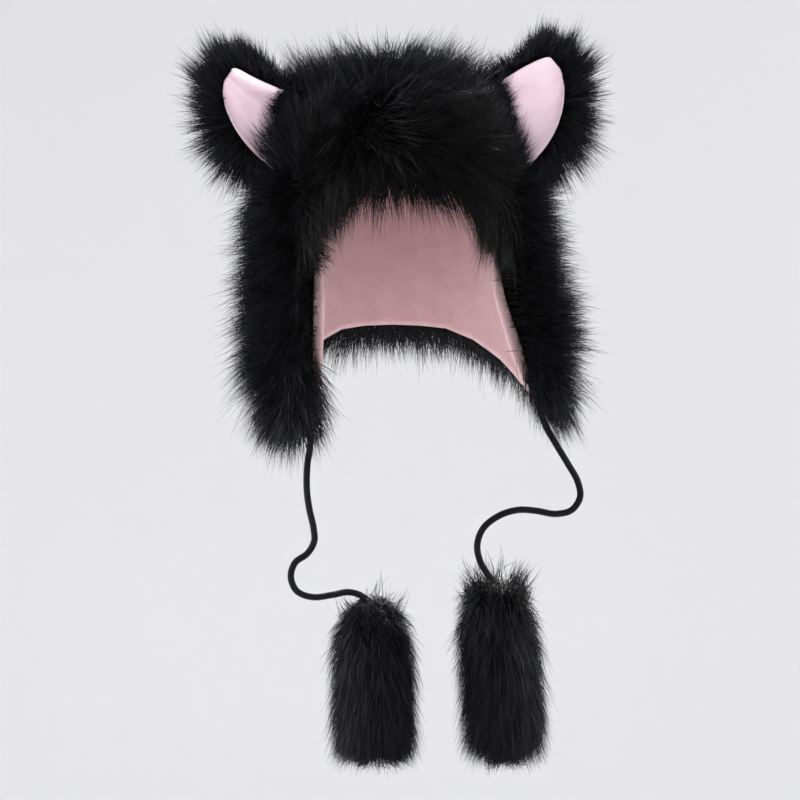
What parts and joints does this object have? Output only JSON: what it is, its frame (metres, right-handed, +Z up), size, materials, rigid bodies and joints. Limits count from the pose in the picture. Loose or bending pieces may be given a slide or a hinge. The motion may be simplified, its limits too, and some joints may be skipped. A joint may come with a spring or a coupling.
{
  "type": "fur hood with cat ears and pompom ties",
  "caption": "Black long-pile faux fur hood with upright cat ears, a pink plush lining, long side flaps and braided cords ending in fur pompoms.",
  "frame": {"origin": "inside of the crown, on its middle, where the top of the head touches", "axes": "+Z up, the face opening looks along -Y, +X to the viewer's right; left and right in names are the viewer's"},
  "size_m": [0.4215, 0.314, 0.7002],
  "materials": {
    "black_fur": "long soft pile with a slight sheen",
    "pink_plush": "short matte plush",
    "pale_pink_plush": "short matte plush",
    "black_braid": "matte braided cord"
  },
  "bodies": {
    "root": {"lining": "pink_plush", "hood_fur": "black_fur", "ear_fur_left": "black_fur", "ear_inner_left": "pale_pink_plush", "ear_fur_right": "black_fur", "ear_inner_right": "pale_pink_plush", "cord_left": "black_braid", "pompom_left": "black_fur", "cord_right": "black_braid", "pompom_right": "black_fur"}
  },
  "joints": []
}
